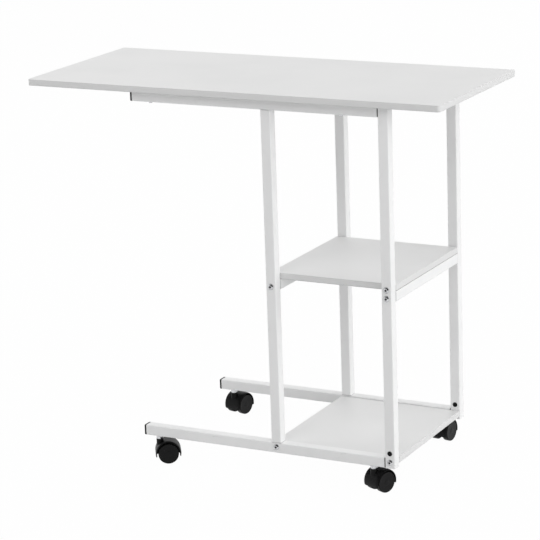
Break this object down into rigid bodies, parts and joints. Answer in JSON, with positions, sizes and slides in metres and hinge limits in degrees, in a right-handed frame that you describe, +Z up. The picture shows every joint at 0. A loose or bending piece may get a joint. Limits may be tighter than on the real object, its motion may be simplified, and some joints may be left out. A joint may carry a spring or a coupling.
{
  "type": "rolling side table",
  "caption": "Rolling C-frame side table: a long overhanging tabletop and two shelves on a white square-tube frame with swivelling twin-wheel casters.",
  "frame": {"origin": "on the floor under the middle of the object's bounding box", "axes": "+X along the tabletop towards the shelf end, +Y towards the rear, +Z up"},
  "size_m": [0.85, 0.3762, 0.745],
  "materials": {
    "white_board": "white melamine faced board with matching edge band",
    "frame_steel": "white satin powder coat",
    "black_plastic": "black moulded plastic",
    "wheel_plastic": "black moulded wheel plastic",
    "zinc_steel": "bright zinc plate"
  },
  "bodies": {
    "frame": {"bottom_shelf": "white_board", "front_base_rail": "frame_steel", "front_base_rail_left_cap": "black_plastic", "front_base_rail_right_cap": "black_plastic", "front_left_bottom_shelf_bolt": "zinc_steel", "front_left_caster_stem": "zinc_steel", "front_left_post": "frame_steel", "front_left_shelf_rail_bolt": "zinc_steel", "front_left_tabletop_screw": "zinc_steel", "front_middle_shelf_bolt": "zinc_steel", "front_right_bottom_shelf_bolt": "zinc_steel", "front_right_caster_stem": "zinc_steel", "front_right_post": "frame_steel", "front_right_post_inner_plug": "black_plastic", "front_right_post_outer_plug": "black_plastic", "front_right_shelf_rail_bolt": "zinc_steel", "front_right_tabletop_screw": "zinc_steel", "front_top_rail": "frame_steel", "front_top_rail_left_cap": "black_plastic", "front_top_rail_right_cap": "black_plastic", "left_shelf_rail": "frame_steel", "middle_shelf": "white_board", "rear_base_rail": "frame_steel", "rear_base_rail_left_cap": "black_plastic", "rear_base_rail_right_cap": "black_plastic", "rear_left_bottom_shelf_bolt": "zinc_steel", "rear_left_caster_stem": "zinc_steel", "rear_left_post": "frame_steel", "rear_left_shelf_rail_bolt": "zinc_steel", "rear_left_tabletop_screw": "zinc_steel", "rear_middle_shelf_bolt": "zinc_steel", "rear_right_bottom_shelf_bolt": "zinc_steel", "rear_right_caster_stem": "zinc_steel", "rear_right_post": "frame_steel", "rear_right_post_inner_plug": "black_plastic", "rear_right_post_outer_plug": "black_plastic", "rear_right_shelf_rail_bolt": "zinc_steel", "rear_right_tabletop_screw": "zinc_steel", "rear_top_rail": "frame_steel", "rear_top_rail_left_cap": "black_plastic", "rear_top_rail_right_cap": "black_plastic", "right_shelf_rail": "frame_steel", "tabletop": "white_board"},
    "front_left_caster": {"front_left_caster_axle": "zinc_steel", "front_left_caster_body": "black_plastic"},
    "front_left_caster_right_wheel": {"front_left_caster_right_wheel": "wheel_plastic"},
    "front_left_caster_left_wheel": {"front_left_caster_left_wheel": "wheel_plastic"},
    "rear_left_caster": {"rear_left_caster_axle": "zinc_steel", "rear_left_caster_body": "black_plastic"},
    "rear_left_caster_right_wheel": {"rear_left_caster_right_wheel": "wheel_plastic"},
    "rear_left_caster_left_wheel": {"rear_left_caster_left_wheel": "wheel_plastic"},
    "front_right_caster": {"front_right_caster_axle": "zinc_steel", "front_right_caster_body": "black_plastic"},
    "front_right_caster_right_wheel": {"front_right_caster_right_wheel": "wheel_plastic"},
    "front_right_caster_left_wheel": {"front_right_caster_left_wheel": "wheel_plastic"},
    "rear_right_caster": {"rear_right_caster_axle": "zinc_steel", "rear_right_caster_body": "black_plastic"},
    "rear_right_caster_right_wheel": {"rear_right_caster_right_wheel": "wheel_plastic"},
    "rear_right_caster_left_wheel": {"rear_right_caster_left_wheel": "wheel_plastic"}
  },
  "joints": [
    {"name": "front_left_caster_swivel", "type": "hinge", "parent": "frame", "child": "front_left_caster", "pos_m": [-0.1865, -0.16158, 0.047], "axis": [0, 0, 1], "continuous": true},
    {"name": "front_left_caster_right_wheel_spin", "type": "hinge", "parent": "front_left_caster", "child": "front_left_caster_right_wheel", "pos_m": [-0.17378, -0.15363, 0.02], "axis": [-0.5299, 0.848, 0], "continuous": true},
    {"name": "front_left_caster_left_wheel_spin", "type": "hinge", "parent": "front_left_caster", "child": "front_left_caster_left_wheel", "pos_m": [-0.17378, -0.15363, 0.02], "axis": [-0.5299, 0.848, 0], "continuous": true},
    {"name": "rear_left_caster_swivel", "type": "hinge", "parent": "frame", "child": "rear_left_caster", "pos_m": [-0.1865, 0.14542, 0.047], "axis": [0, 0, 1], "continuous": true},
    {"name": "rear_left_caster_right_wheel_spin", "type": "hinge", "parent": "rear_left_caster", "child": "rear_left_caster_right_wheel", "pos_m": [-0.18313, 0.16003, 0.02], "axis": [-0.9744, 0.225, 0], "continuous": true},
    {"name": "rear_left_caster_left_wheel_spin", "type": "hinge", "parent": "rear_left_caster", "child": "rear_left_caster_left_wheel", "pos_m": [-0.18313, 0.16003, 0.02], "axis": [-0.9744, 0.225, 0], "continuous": true},
    {"name": "front_right_caster_swivel", "type": "hinge", "parent": "frame", "child": "front_right_caster", "pos_m": [0.2703, -0.16158, 0.047], "axis": [0, 0, 1], "continuous": true},
    {"name": "front_right_caster_right_wheel_spin", "type": "hinge", "parent": "front_right_caster", "child": "front_right_caster_right_wheel", "pos_m": [0.27616, -0.14777, 0.02], "axis": [-0.9205, 0.3907, 0], "continuous": true},
    {"name": "front_right_caster_left_wheel_spin", "type": "hinge", "parent": "front_right_caster", "child": "front_right_caster_left_wheel", "pos_m": [0.27616, -0.14777, 0.02], "axis": [-0.9205, 0.3907, 0], "continuous": true},
    {"name": "rear_right_caster_swivel", "type": "hinge", "parent": "frame", "child": "rear_right_caster", "pos_m": [0.2703, 0.14542, 0.047], "axis": [0, 0, 1], "continuous": true},
    {"name": "rear_right_caster_right_wheel_spin", "type": "hinge", "parent": "rear_right_caster", "child": "rear_right_caster_right_wheel", "pos_m": [0.27187, 0.16034, 0.02], "axis": [-0.9945, 0.1045, 0], "continuous": true},
    {"name": "rear_right_caster_left_wheel_spin", "type": "hinge", "parent": "rear_right_caster", "child": "rear_right_caster_left_wheel", "pos_m": [0.27187, 0.16034, 0.02], "axis": [-0.9945, 0.1045, 0], "continuous": true}
  ]
}
